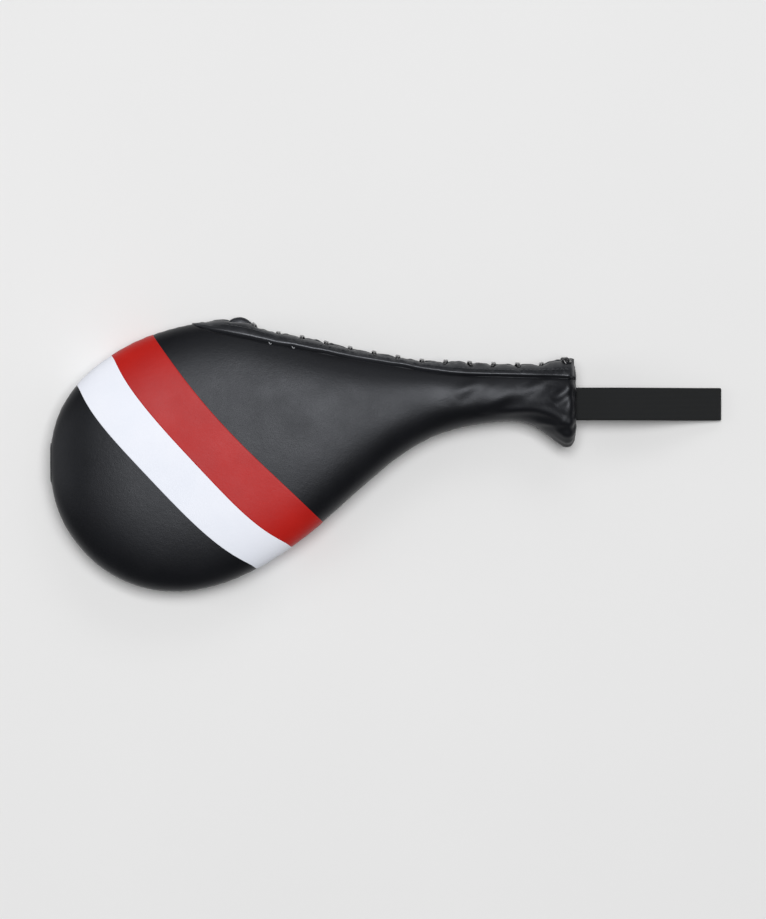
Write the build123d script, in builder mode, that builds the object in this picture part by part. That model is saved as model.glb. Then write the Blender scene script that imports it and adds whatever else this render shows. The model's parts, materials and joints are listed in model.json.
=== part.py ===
from build123d import *
from math import cos, pi, radians, sin
import os

# Kick paddle: a padded striking head and a padded grip in one laced cover, with a wrist strap.
# Millimetres. The paddle lies face up: +X runs along the grip to the strap, +Z is up,
# z = 0 is the flat of the back that it rests on.

os.makedirs("parts", exist_ok=True)

# ---------------------------------------------------------------- driving dimensions
MID = 26.5              # height of the middle plane, where the two cover halves meet
HEAD_HALF = 27.5        # half thickness of the striking head
GRIP_HALF = 20.0        # half thickness of the grip
POMMEL_HALF = 26.0      # half thickness of the flared end of the grip
TIP_X = -257.0          # rounded end of the head
BUTT_X = 144.0          # flat end of the grip
END_ROUND = 6.0         # rounding of the edge around the butt
NOSE_REACH = 85.0       # length over which the head swells from the tip to full thickness
HEAD_SHAPE = 2.8        # superellipse exponent of the sections in the head
GRIP_SHAPE = 2.2        # and in the grip

SKIN = 1.5              # cover, synthetic leather
FILM = 0.4              # coloured stripes
HEM = 1.5               # binding strips along the laced edge
HEM_FIT = 0.1           # glue line under them
FIT = 0.3               # clearance between padding and cover
PAD = 8.0               # dense foam sheets under the two faces

SPINE_T = 2.5           # stiffening plate
STRAP_W = 25.0          # webbing of the wrist strap
STRAP_Y = 39.65         # middle of the webbing across the butt
PLY = 1.6               # thickness of the webbing
STRAP_Z = MID + 2.95    # height of the plane between its two plies
PIVOT_X = 148.0         # where the strap starts to swing
STRAP_STEPS = 64        # points along its faces, taken two by two as arcs

LACE_D = 2.0            # lace
LACE_HOLE_D = 3.0
LACE_Z = 4.5            # holes sit this far above and below the middle plane
LACE_FIRST = -99.9      # first and last stitch of the lace, and how many there are
LACE_LAST = 136.6
LACE_COUNT = 14

THREAD_D = 0.7          # sewing thread
SEAM_DEPTH = 8.0        # width of the seam allowance turned inwards at the rim
SEAM_T = 1.5            # its thickness
HEM_STITCH_PITCH = 4.0
HEM_STITCH_COUNT = 66
HEM_STITCH_FIRST = -126.0

SECTION_POINTS = 16     # points on each cross section of the padded shape

NECK_X = -20.0          # head foam ends, grip foam begins
POMMEL_X = 118.0        # grip foam ends, end block begins
SEAM_END_X = 108.0      # the turned-in seam of the lower edge ends here
PLATE_END_X = 137.0     # the plate and the slot for the strap meet here

# ---------------------------------------------------------------- plan outline of the cover
with BuildLine() as upper_line:
    Spline(
        (TIP_X, -5), (-245, 42), (-209, 77), (-160, 97.6), (-120, 102), (-66, 90),
        (10, 74.6), (60, 70), (100, 68.7), (125, 69.8), (160, 75),
        tangents=[(0, 1), (1, 0.1)],
    )
with BuildLine() as lower_line:
    Spline(
        (TIP_X, -5), (-247, -50.5), (-217, -86), (-167, -103.8), (-112, -92.5), (-51, -53),
        (-5, -12.3), (41, 16.7), (72, 24.3), (95, 26.5), (110, 24.3), (125, 15.3),
        (136, 9.2), (160, 4),
        tangents=[(0, -1), (1, -0.1)],
    )
UPPER = upper_line.edges()[0]
LOWER = lower_line.edges()[0]


def at_x(edge, x):
    """Point and direction of an outline edge at a given x, by halving."""
    low, high = 0.0, 1.0
    for _ in range(30):
        half = (low + high) / 2
        if (edge @ half).X < x:
            low = half
        else:
            high = half
    return edge @ low, edge % low


def smooth(value):
    value = min(max(value, 0), 1)
    return value * value * (3 - 2 * value)


RIB_X = [
    -256.4, -253, -247, -239, -228, -214, -197, -177, -155, -131, -105, -79,
    -53, -27, -2, 22, 46, 69, 90, 108, 123, 137, 152,
]
RIBS = []
for rib_x in RIB_X:
    up_point, up_dir = at_x(UPPER, rib_x)
    low_point, low_dir = at_x(LOWER, rib_x)
    up_in = Vector(up_dir.Y, -up_dir.X)
    low_in = Vector(-low_dir.Y, low_dir.X)
    RIBS.append((up_point, up_in, low_point, low_in))


def half_thickness(x):
    swell = HEAD_HALF
    swell += (GRIP_HALF - HEAD_HALF) * smooth((x + 70) / 120)
    swell += (POMMEL_HALF - GRIP_HALF) * smooth((x - 108) / 32)
    return swell


def superellipse(wide, tall, shape):
    """Points of a section at even angles; the surface closes at the first, on the laced rim."""
    points = []
    for k in range(SECTION_POINTS):
        c = cos(2 * pi * k / SECTION_POINTS)
        s = sin(2 * pi * k / SECTION_POINTS)
        reach = (abs(c) ** shape + abs(s) ** shape) ** (-1 / shape)
        points.append((wide * reach * c, tall * reach * s))
    return points


def rib_section(rib, inset):
    """Plane across the paddle and the superellipse in it, drawn in by `inset`."""
    up_point, up_in, low_point, low_in = rib
    top = up_point + up_in * inset
    bottom = low_point + low_in * inset
    centre = (top + bottom) * 0.5
    across = (top - bottom).normalized()
    plane = Plane(
        origin=(centre.X, centre.Y, MID), x_dir=across, z_dir=Vector(across.Y, -across.X, 0)
    )
    near = min(max((centre.X - TIP_X - inset) / (NOSE_REACH - inset), 0), 1)
    nose = (1 - (1 - near) ** 2.4) ** (1 / 2.4)
    tall = (half_thickness(centre.X) - inset) * nose
    shape = HEAD_SHAPE + (GRIP_SHAPE - HEAD_SHAPE) * smooth((centre.X + 70) / 120)
    return plane, superellipse((top - bottom).length / 2, tall, shape)


def slab(x0, x1, y0, y1, z0, z1):
    """A plain box between two corners, used to cut and to keep regions."""
    with BuildPart() as block:
        with Locations(((x0 + x1) / 2, (y0 + y1) / 2, (z0 + z1) / 2)):
            Box(x1 - x0, y1 - y0, z1 - z0)
    return block.part


SECTION_KNOTS = [k / SECTION_POINTS for k in range(SECTION_POINTS + 1)]


def body(inset):
    """The whole padded shape, drawn in (or out) by `inset` on every side."""
    with BuildPart() as shape:
        for rib in RIBS:
            plane, points = rib_section(rib, inset)
            with BuildSketch(plane):
                with BuildLine():
                    add(Edge.make_spline(points, periodic=True, parameters=SECTION_KNOTS))
                make_face()
        loft()
        add(slab(-300, BUTT_X - inset, -300, 300, max(inset, 0), 200), mode=Mode.INTERSECT)
        fillet(shape.faces().sort_by(Axis.X)[-1].edges(), max(END_ROUND - inset, 1))
    return shape.part


def front_half(gap):
    return slab(-300, 300, -300, 300, MID + gap, 200)


def back_half(gap):
    return slab(-300, 300, -300, 300, -100, MID - gap)


BODY_OUT = body(-HEM_FIT - HEM)      # outside of the hem strips
BODY_HEM = body(-HEM_FIT)            # inside of the hem strips
BODY = body(0)                       # outside of the cover
BODY_FILM = body(FILM)               # underside of the stripe films
BODY_RECESS = body(FILM + 0.1)       # recess they lie in
BODY_IN = body(SKIN)                 # inside of the cover
BODY_PAD = body(SKIN + FIT)          # outside of the padding
BODY_LACE = body(5.6)                # depth of the channel for the lace
BODY_FLANGE = body(SKIN / 2)         # root of the turned-in seam, inside the cover wall
BODY_SEAM = body(SEAM_DEPTH)         # depth of the turned-in seam
BODY_CHANNEL = body(SEAM_DEPTH + 0.4)  # depth of the channel left free for it
BODY_PAD_IN = body(SKIN + FIT + PAD)   # underside of the dense foam sheets
BODY_CORE = body(SKIN + 2 * FIT + PAD)  # outside of the core foam under them

# ---------------------------------------------------------------- plan regions
# side of the paddle that is laced, from where the hem starts to the butt
with BuildPart() as laced_side:
    with BuildSketch(Plane.XY.offset(-10)):
        with BuildLine():
            Polyline(
                (-150, 200), (-150, 70), (-60, 50), (10, 52), (200, 52), (200, 200), close=True
            )
        make_face()
    extrude(amount=100)

# hem strips: everything beyond their lower edge
with BuildPart() as hem_region:
    with BuildSketch(Plane.XY.offset(-10)):
        with BuildLine():
            hem_edge = Spline(
                (-150, 101), (-104, 90.6), (-66, 83.2), (-28, 75.8), (10, 69.4), (48, 63.4),
                (72, 62), (102, 61), (160, 58.6),
            )
            Polyline(hem_edge @ 1, (160, 130), (-150, 130), hem_edge @ 0)
        make_face()
    extrude(amount=100)

WHITE_TIP = [
    (-262, 96), (-235.5, 52), (-221, 28.5), (-191.5, -5.2), (-162.4, -36), (-133, -63.8),
    (-99.5, -85.8), (-62, -106),
]
WHITE_RED = [
    (-226, 104), (-210, 76), (-191.6, 46), (-162.4, 11.6), (-133, -20), (-104, -48.4),
    (-73, -69.6), (-36, -92),
]
RED_BLACK = [
    (-192, 118), (-177, 91.3), (-162.4, 71), (-142, 44.5), (-118.5, 18.2), (-89, -11),
    (-68.7, -30), (-48.2, -50), (-16, -80),
]


def stripe_region(first, second):
    """Region between two stripe borders, upright through the head."""
    with BuildPart() as region:
        with BuildSketch(Plane.XY.offset(-10)):
            with BuildLine():
                a = Spline(*first)
                b = Spline(*second)
                Line(a @ 0, b @ 0)
                Line(a @ 1, b @ 1)
            make_face()
        extrude(amount=100)
    return region.part


WHITE_REGION = stripe_region(WHITE_TIP, WHITE_RED)
RED_REGION = stripe_region(WHITE_RED, RED_BLACK)
RECESS_REGION = stripe_region(WHITE_TIP, RED_BLACK)

# ---------------------------------------------------------------- lace stitches along the top
LACE_POINTS = []
for k in range(LACE_COUNT):
    stitch_x = LACE_FIRST + (LACE_LAST - LACE_FIRST) * k / (LACE_COUNT - 1)
    point, direction = at_x(UPPER, stitch_x)
    LACE_POINTS.append((point, Vector(-direction.Y, direction.X)))


def lace_holes(side):
    with BuildPart() as holes:
        for point, out in LACE_POINTS:
            start = point - out * 5 + Vector(0, 0, MID + side * LACE_Z)
            with BuildSketch(Plane(origin=start, z_dir=out)):
                Circle(LACE_HOLE_D / 2)
            extrude(amount=9)
    return holes.part


FRONT_HOLES = lace_holes(1)
BACK_HOLES = lace_holes(-1)

# ---------------------------------------------------------------- seam stitches round the rest
SEAM_POINTS = []
for k in range(20):
    u = 0.84 - k * 0.0425
    if u > 0.02:
        SEAM_POINTS.append((LOWER @ u, Vector(-(LOWER % u).Y, (LOWER % u).X)))
for k in range(7):
    u = 0.03 + k * 0.0425
    SEAM_POINTS.append((UPPER @ u, Vector((UPPER % u).Y, -(UPPER % u).X)))

with BuildPart() as seam_holes:
    for point, inward in SEAM_POINTS:
        with Locations((point.X + inward.X * 5, point.Y + inward.Y * 5, MID)):
            Cylinder(0.5, 6)

# channel that the padding leaves free for the turned-in seam
with BuildPart() as seam_channel:
    add(slab(-300, SEAM_END_X + 2, -300, 300, MID - 2.6, MID + 2.6))
    add(BODY_CHANNEL, mode=Mode.SUBTRACT)
    add(laced_side.part, mode=Mode.SUBTRACT)

# channel for the lace along the top rim
with BuildPart() as lace_channel:
    add(slab(LACE_FIRST - 8, 200, -300, 300, MID - 6.6, MID + 6.6))
    add(BODY_LACE, mode=Mode.SUBTRACT)
    add(laced_side.part, mode=Mode.INTERSECT)

# slot in the butt for the strap
STRAP_SLOT = slab(
    PLATE_END_X, 200, STRAP_Y - STRAP_W / 2 - 0.3, STRAP_Y + STRAP_W / 2 + 0.3,
    STRAP_Z - PLY - 0.3, STRAP_Z + PLY + 0.3,
)

# pocket for the end of the plate and the sewn end of the strap
with BuildPart() as end_pocket:
    add(slab(POMMEL_X - 1, PLATE_END_X + 0.5, 26.8, 60.3, MID - 1.8, MID + 5.1))
    add(STRAP_SLOT)

# ---------------------------------------------------------------- spine plate
def plate(slack, thick):
    with BuildPart() as sheet:
        with BuildSketch(Plane.XY.offset(MID - thick / 2)):
            with BuildLine():
                Polyline(
                    (PLATE_END_X, 60), (30, 59), (-30, 53), (-85, 47), (-135, 39), (-188, 30),
                    (-188, -36), (-140, -34), (-90, -16), (-30, 20), (28, 37), (PLATE_END_X, 38.5),
                    close=True,
                )
            make_face()
            fillet(vertices().sort_by(Axis.X)[0:2], 24)
            if slack:
                offset(amount=slack)
        extrude(amount=thick)
    return sheet.part


PLATE_POCKET = plate(0.3, SPINE_T + 0.2)
TACK_X = [122.5, 127.5, 132.5]

with BuildPart() as tack_holes:
    for tack_x in TACK_X:
        add(slab(tack_x - 0.9, tack_x + 0.9, 40, 51, MID - 4, MID + 8))

with BuildPart() as spine_plate:
    add(plate(0, SPINE_T))
    add(tack_holes.part, mode=Mode.SUBTRACT)
spine_plate.part.label = "spine_plate"

# ---------------------------------------------------------------- padding
def core_foam(half):
    with BuildPart() as foam:
        add(BODY_PAD)
        add(half, mode=Mode.INTERSECT)
        add(slab(-300, NECK_X - 0.1, -300, 300, -100, 200), mode=Mode.INTERSECT)
        add(PAD_SPACE_FRONT, mode=Mode.SUBTRACT)
        add(PAD_SPACE_BACK, mode=Mode.SUBTRACT)
        add(PLATE_POCKET, mode=Mode.SUBTRACT)
        add(seam_channel.part, mode=Mode.SUBTRACT)
        add(lace_channel.part, mode=Mode.SUBTRACT)
    return foam.part


def pad_space(low, high, end_x):
    """Space of a dense foam sheet: the outer layer of the head between two heights."""
    with BuildPart() as space:
        add(slab(-300, end_x, -300, 300, low, high))
        add(BODY_CORE, mode=Mode.SUBTRACT)
    return space.part


PAD_SPACE_FRONT = pad_space(MID + 6.9, 200, NECK_X)
PAD_SPACE_BACK = pad_space(-100, MID - 6.9, NECK_X)

with BuildPart() as core_foam_front:
    add(core_foam(front_half(0.05)))
core_foam_front.part.label = "core_foam_front"

with BuildPart() as core_foam_back:
    add(core_foam(back_half(0.05)))
core_foam_back.part.label = "core_foam_back"


def strike_pad(low, high):
    with BuildPart() as sheet:
        add(BODY_PAD)
        add(slab(-300, NECK_X - 0.1, -300, 300, low, high), mode=Mode.INTERSECT)
        add(BODY_PAD_IN, mode=Mode.SUBTRACT)
    return sheet.part


with BuildPart() as strike_pad_front:
    add(strike_pad(MID + 7, 200))
strike_pad_front.part.label = "strike_pad_front"

with BuildPart() as strike_pad_back:
    add(strike_pad(-100, MID - 7))
strike_pad_back.part.label = "strike_pad_back"


def grip_foam(half):
    with BuildPart() as foam:
        add(BODY_PAD)
        add(half, mode=Mode.INTERSECT)
        add(slab(NECK_X, POMMEL_X - 0.1, -300, 300, -100, 200), mode=Mode.INTERSECT)
        add(PLATE_POCKET, mode=Mode.SUBTRACT)
        add(seam_channel.part, mode=Mode.SUBTRACT)
        add(lace_channel.part, mode=Mode.SUBTRACT)
    return foam.part


with BuildPart() as grip_foam_front:
    add(grip_foam(front_half(0.05)))
grip_foam_front.part.label = "grip_foam_front"

with BuildPart() as grip_foam_back:
    add(grip_foam(back_half(0.05)))
grip_foam_back.part.label = "grip_foam_back"

# the end block carries the flare of the butt and is slit for the plate and the strap
with BuildPart() as pommel_block:
    add(BODY_PAD)
    add(slab(POMMEL_X, 200, -300, 300, -100, 200), mode=Mode.INTERSECT)
    add(end_pocket.part, mode=Mode.SUBTRACT)
    add(lace_channel.part, mode=Mode.SUBTRACT)
pommel_block.part.label = "pommel_block"


# ---------------------------------------------------------------- cover halves
def cover_half(half, holes, film_side, seam_low):
    with BuildPart() as skin:
        add(BODY)
        add(half, mode=Mode.INTERSECT)
        add(BODY_IN, mode=Mode.SUBTRACT)
        add(film_side, mode=Mode.SUBTRACT)
        # seam allowance turned in round the tip and the lower edge
        add(seam_flange(seam_low))
        add(seam_holes.part, mode=Mode.SUBTRACT)
        # open slit and holes of the laced side
        add(lace_slit.part, mode=Mode.SUBTRACT)
        add(holes, mode=Mode.SUBTRACT)
        add(STRAP_SLOT, mode=Mode.SUBTRACT)
    return skin.part


def seam_flange(low):
    with BuildPart() as flange:
        add(BODY_FLANGE)
        add(slab(-300, SEAM_END_X, -300, 300, low, low + SEAM_T), mode=Mode.INTERSECT)
        add(BODY_SEAM, mode=Mode.SUBTRACT)
        add(laced_side.part, mode=Mode.SUBTRACT)
    return flange.part


def film_recess(half):
    with BuildPart() as recess:
        add(RECESS_REGION)
        add(half, mode=Mode.INTERSECT)
        add(BODY_RECESS, mode=Mode.SUBTRACT)
    return recess.part


with BuildPart() as lace_slit:
    add(slab(-140, 200, -300, 300, MID - 0.6, MID + 0.6))
    add(laced_side.part, mode=Mode.INTERSECT)

with BuildPart() as cover_front:
    add(cover_half(front_half(0.05), FRONT_HOLES, film_recess(front_half(0)), MID + 0.05))
cover_front.part.label = "cover_front"

with BuildPart() as cover_back:
    add(cover_half(back_half(0.05), BACK_HOLES, film_recess(back_half(0)), MID - 0.05 - SEAM_T))
cover_back.part.label = "cover_back"


# ---------------------------------------------------------------- stripe films
def film(region, half):
    with BuildPart() as sheet:
        add(BODY)
        add(region, mode=Mode.INTERSECT)
        add(half, mode=Mode.INTERSECT)
        add(BODY_FILM, mode=Mode.SUBTRACT)
    return sheet.part


with BuildPart() as white_stripe_front:
    add(film(WHITE_REGION, front_half(0.05)))
white_stripe_front.part.label = "white_stripe_front"

with BuildPart() as white_stripe_back:
    add(film(WHITE_REGION, back_half(0.05)))
white_stripe_back.part.label = "white_stripe_back"

with BuildPart() as red_stripe_front:
    add(film(RED_REGION, front_half(0.05)))
red_stripe_front.part.label = "red_stripe_front"

with BuildPart() as red_stripe_back:
    add(film(RED_REGION, back_half(0.05)))
red_stripe_back.part.label = "red_stripe_back"


# ---------------------------------------------------------------- hem strips of the laced edge
def hem_strip(half, holes):
    with BuildPart() as strip:
        add(BODY_OUT)
        add(hem_region.part, mode=Mode.INTERSECT)
        add(half, mode=Mode.INTERSECT)
        add(BODY_HEM, mode=Mode.SUBTRACT)
        add(holes, mode=Mode.SUBTRACT)
    return strip.part


with BuildPart() as hem_strip_front:
    add(hem_strip(front_half(0.8), FRONT_HOLES))
hem_strip_front.part.label = "hem_strip_front"

with BuildPart() as hem_strip_back:
    add(hem_strip(back_half(0.8), BACK_HOLES))
hem_strip_back.part.label = "hem_strip_back"


def hem_stitches(side):
    """Machine stitches that lie along the lower edge of a hem strip."""
    with BuildPart() as row:
        for k in range(HEM_STITCH_COUNT):
            x = HEM_STITCH_FIRST + k * HEM_STITCH_PITCH
            edge_point, edge_dir = at_x(hem_edge, x)
            probe = Axis((x, edge_point.Y + 1.6, MID + side * 60), (0, 0, -side))
            hits = BODY_OUT.find_intersection_points(probe)
            hit, normal = sorted(hits, key=lambda pair: side * pair[0].Z)[-1]
            along = Vector(edge_dir.X, edge_dir.Y, 0)
            along = (along - normal * along.dot(normal)).normalized()
            lift = normal * (THREAD_D / 2 + 0.05)
            with BuildSketch(Plane(origin=hit + lift - along * 1.3, z_dir=along)):
                Circle(THREAD_D / 2)
            extrude(amount=2.6)
    return row.part


with BuildPart() as hem_stitches_front:
    add(hem_stitches(1))
hem_stitches_front.part.label = "hem_stitches_front"

with BuildPart() as hem_stitches_back:
    add(hem_stitches(-1))
hem_stitches_back.part.label = "hem_stitches_back"

# ---------------------------------------------------------------- lace and seam thread
lace_path = []
for point, out in LACE_POINTS:
    inner = point - out * (SKIN + LACE_D / 2 + 1.1)
    outer = point + out * (HEM + HEM_FIT + LACE_D / 2 + 1.0)
    lace_path.append((inner.X, inner.Y, MID + LACE_Z))
    lace_path.append((outer.X, outer.Y, MID + LACE_Z))
    lace_path.append((outer.X, outer.Y, MID - LACE_Z))
    lace_path.append((inner.X, inner.Y, MID - LACE_Z))

with BuildPart() as closure_lace:
    with BuildLine() as lace_line:
        FilletPolyline(*lace_path, radius=1.6)
    with BuildSketch(Plane(origin=lace_line.line @ 0, z_dir=lace_line.line % 0)):
        Circle(LACE_D / 2)
    sweep()
    # knots that stop both ends inside the cover
    with Locations(lace_line.line @ 0, lace_line.line @ 1):
        Sphere(LACE_D * 0.8)
closure_lace.part.label = "closure_lace"

thread_path = []
for k, (point, inward) in enumerate(SEAM_POINTS):
    spot = point + inward * 5
    first = 1 if k % 2 == 0 else -1
    thread_path.append((spot.X, spot.Y, MID + first * (SEAM_T + 0.5)))
    thread_path.append((spot.X, spot.Y, MID - first * (SEAM_T + 0.5)))

with BuildPart() as rim_seam_thread:
    with BuildLine() as thread_line:
        FilletPolyline(*thread_path, radius=0.7)
    with BuildSketch(Plane(origin=thread_line.line @ 0, z_dir=thread_line.line % 0)):
        Circle(THREAD_D / 2)
    sweep()
rim_seam_thread.part.label = "rim_seam_thread"

# ---------------------------------------------------------------- wrist strap
# sewn end of the strap: both plies on the plate, out through the slot in the butt
with BuildPart() as strap_anchor:
    add(slab(
        POMMEL_X + 1, PIVOT_X - PLY - 0.3, STRAP_Y - STRAP_W / 2, STRAP_Y + STRAP_W / 2,
        STRAP_Z - PLY, STRAP_Z + PLY,
    ))
    add(tack_holes.part, mode=Mode.SUBTRACT)
strap_anchor.part.label = "strap_anchor"

# bar tacks through both plies and the plate
with BuildPart() as strap_bartacks:
    for tack_x in TACK_X:
        with Locations((tack_x, 45.5, MID + 1.65)):
            Box(1.7, 10.9, 2 * PLY + SPINE_T + 1.0)
strap_bartacks.part.label = "strap_bartacks"

# the loop that swings: two plies from a rounded root to a fold that rests on the floor
FLOOR = PLY / 2 - STRAP_Z
with BuildLine() as strap_line:
    Spline(
        (2, PLY / 2), (14, 0.8), (30, 0.6), (50, -2.7), (70, -9.7), (88, -17.6),
        (101, -22), (107.4, -25), (101, FLOOR + 0.46), (90, FLOOR + 1), (72, -24),
        (54, -16.8), (36, -8.4), (20, -2.6), (2, -PLY / 2),
        tangents=[(1, 0), (-1, 0)],
    )


def strap_face(side, first_x):
    """Points along one face of the strap, beyond a given distance from the root."""
    points = []
    for k in range(STRAP_STEPS + 1):
        spot = strap_line.line @ (k / STRAP_STEPS)
        along = strap_line.line % (k / STRAP_STEPS)
        point = (spot.X - side * along.Y * PLY / 2, spot.Y + side * along.X * PLY / 2)
        if point[0] > first_x:
            points.append(point)
    return points[:len(points) - 1 + len(points) % 2]


with BuildPart() as wrist_strap:
    with BuildSketch(Plane(origin=(PIVOT_X, STRAP_Y, STRAP_Z), x_dir=(1, 0, 0), z_dir=(0, -1, 0))):
        for face, mode in ((strap_face(1, 0), Mode.ADD), (strap_face(-1, 10), Mode.SUBTRACT)):
            with BuildLine():
                for k in range(0, len(face) - 2, 2):
                    ThreePointArc(face[k], face[k + 1], face[k + 2])
                Line(face[-1], face[0])
            make_face(mode=mode)
        with Locations((5.5, 0)):
            Rectangle(11, 2 * PLY)
        Circle(PLY)
    extrude(amount=STRAP_W / 2, both=True)
wrist_strap.part.label = "wrist_strap"

for name, piece in {
    "spine_plate": spine_plate,
    "core_foam_front": core_foam_front,
    "core_foam_back": core_foam_back,
    "strike_pad_front": strike_pad_front,
    "strike_pad_back": strike_pad_back,
    "grip_foam_front": grip_foam_front,
    "grip_foam_back": grip_foam_back,
    "pommel_block": pommel_block,
    "cover_front": cover_front,
    "cover_back": cover_back,
    "white_stripe_front": white_stripe_front,
    "white_stripe_back": white_stripe_back,
    "red_stripe_front": red_stripe_front,
    "red_stripe_back": red_stripe_back,
    "hem_strip_front": hem_strip_front,
    "hem_strip_back": hem_strip_back,
    "hem_stitches_front": hem_stitches_front,
    "hem_stitches_back": hem_stitches_back,
    "closure_lace": closure_lace,
    "rim_seam_thread": rim_seam_thread,
    "strap_anchor": strap_anchor,
    "strap_bartacks": strap_bartacks,
    "wrist_strap": wrist_strap,
}.items():
    export_step(piece.part, "parts/" + name + ".step")
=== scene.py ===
import json
import math

import bmesh
import bpy
import numpy as np
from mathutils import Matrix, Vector
from mathutils.bvhtree import BVHTree


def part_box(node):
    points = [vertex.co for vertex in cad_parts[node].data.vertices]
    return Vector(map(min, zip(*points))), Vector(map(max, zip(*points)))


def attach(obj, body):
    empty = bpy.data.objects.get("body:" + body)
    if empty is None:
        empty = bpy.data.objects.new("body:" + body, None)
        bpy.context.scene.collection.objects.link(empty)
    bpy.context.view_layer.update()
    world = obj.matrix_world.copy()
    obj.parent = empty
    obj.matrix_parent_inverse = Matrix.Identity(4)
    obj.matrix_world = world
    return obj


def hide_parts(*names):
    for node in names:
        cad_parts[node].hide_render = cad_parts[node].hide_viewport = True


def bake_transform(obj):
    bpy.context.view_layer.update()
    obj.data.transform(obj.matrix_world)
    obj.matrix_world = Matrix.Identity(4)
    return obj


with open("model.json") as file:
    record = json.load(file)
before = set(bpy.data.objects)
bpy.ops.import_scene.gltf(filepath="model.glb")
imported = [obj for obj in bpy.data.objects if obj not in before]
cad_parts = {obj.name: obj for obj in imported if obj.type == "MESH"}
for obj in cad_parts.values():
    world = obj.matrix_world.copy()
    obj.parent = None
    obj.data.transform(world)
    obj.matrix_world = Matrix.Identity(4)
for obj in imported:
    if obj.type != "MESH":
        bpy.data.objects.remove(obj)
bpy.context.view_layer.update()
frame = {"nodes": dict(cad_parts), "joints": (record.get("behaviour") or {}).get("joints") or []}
MM = 0.001
UP, DOWN = (0, 0, 1), (0, 0, -1)

# ------------------------------------------------------------------ places read from the frame
FRONT_LOW, FRONT_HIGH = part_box("cover_front")
_, BACK_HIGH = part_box("cover_back")
HEM_LOW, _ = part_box("hem_strip_front")
LACE_LOW, LACE_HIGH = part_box("closure_lace")
_, STRAP_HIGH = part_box("wrist_strap")
ANCHOR_LOW, ANCHOR_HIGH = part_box("strap_anchor")
PIVOT = Vector(frame["joints"][0]["pos_m"])

MID = (FRONT_LOW.z + BACK_HIGH.z) / 2                 # height of the middle plane
TIP_X, BUTT_X = FRONT_LOW.x, FRONT_HIGH.x
STRAP_Y = (ANCHOR_LOW.y + ANCHOR_HIGH.y) / 2
STRAP_HALF = (ANCHOR_HIGH.y - ANCHOR_LOW.y) / 2
LACE_COUNT = 14
LACE_SIDE = 1.6 * MM                                  # from the middle of a lace stitch to its side
LACE_X = np.linspace(LACE_LOW.x + LACE_SIDE, LACE_HIGH.x - LACE_SIDE, LACE_COUNT)


def tree_of(*names):
    """One search tree over the surfaces of several CAD nodes."""
    points, faces = [], []
    for name in names:
        mesh = frame["nodes"][name].data
        base = len(points)
        points += [v.co.copy() for v in mesh.vertices]
        faces += [[base + i for i in p.vertices] for p in mesh.polygons]
    return BVHTree.FromPolygons(points, faces)


SKIN = tree_of(
    "cover_front", "cover_back", "white_stripe_front", "white_stripe_back",
    "red_stripe_front", "red_stripe_back",
)
HEM = tree_of("hem_strip_front")
STRAP = tree_of("wrist_strap")
WHITE_STRIPE = tree_of("white_stripe_front")
RED_STRIPE = tree_of("red_stripe_front")


def hit(tree, start, direction):
    """Where a ray first meets the surface, or None."""
    return tree.ray_cast(Vector(start), Vector(direction))[0]


# ------------------------------------------------------------------ small helpers for numbers
def smoothstep(value):
    value = np.clip(value, 0, 1)
    return value * value * (3 - 2 * value)


def bell(distance, width):
    """1 in the middle, fading out over the width."""
    return np.exp(-(distance / width) ** 2)


def blur(values, passes):
    """Evens out the facets of the tessellated frame, keeping both ends."""
    values = np.array(values, float)
    for _ in range(passes):
        values[1:-1] = (values[:-2] + 2 * values[1:-1] + values[2:]) / 4
    return values


def value_noise(points, size, seed):
    """Smooth noise from -1 to 1, the same on every run."""
    q = np.asarray(points, float) / size + seed * 17.31
    base = np.floor(q)
    f = q - base
    f = f * f * f * (f * (f * 6 - 15) + 10)
    total = np.zeros(q.shape[:-1])
    for dx in (0, 1):
        for dy in (0, 1):
            for dz in (0, 1):
                corner = base + np.array([dx, dy, dz])
                mix = corner @ np.array([127.1, 311.7, 74.7]) + seed * 13.7
                rand = np.modf(np.abs(np.sin(mix) * 43758.5453))[0] * 2 - 1
                wx = f[..., 0] if dx else 1 - f[..., 0]
                wy = f[..., 1] if dy else 1 - f[..., 1]
                wz = f[..., 2] if dz else 1 - f[..., 2]
                total += rand * wx * wy * wz
    return total


def line_noise(x, size, seed, y=0.0, z=0.0):
    """The same noise along a line of points at x."""
    return value_noise(np.stack([x, np.full_like(x, y), np.full_like(x, z)], axis=1), size, seed)


def spread(path, count):
    """Evenly spaced points along a broken line, and how far along it each one is."""
    steps = np.linalg.norm(np.diff(path, axis=0), axis=1)
    run = np.concatenate([[0], np.cumsum(steps)])
    even = np.linspace(0, run[-1], count)
    return np.stack([np.interp(even, run, column) for column in path.T], axis=1), even


def curve_through(points, count):
    """Evenly spaced points on a smooth curve through the given ones."""
    p = np.array(points, float)
    p = np.vstack([2 * p[0] - p[1], p, 2 * p[-1] - p[-2]])
    out = []
    for i in range(1, len(p) - 2):
        a, b, c, d = p[i - 1:i + 3]
        for t in np.linspace(0, 1, 24, endpoint=False):
            out.append(0.5 * (2 * b + (c - a) * t + (2 * a - 5 * b + 4 * c - d) * t * t
                              + (3 * b - a - 3 * c + d) * t ** 3))
    out.append(p[-2])
    return spread(np.array(out), count)[0]


# ------------------------------------------------------------------ sections of the padded body
HEAD_SHAPE, GRIP_SHAPE = 2.8, 2.2                     # superellipse exponents of the sections
SHAPE_FROM, SHAPE_RUN = -0.07, 0.12                   # where the one turns into the other
RIM_OFF = 1.5 * MM                                    # the rim is measured beside the seam
BASE_X = np.linspace(TIP_X + 0.4 * MM, BUTT_X - 0.05 * MM, 700)


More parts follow.
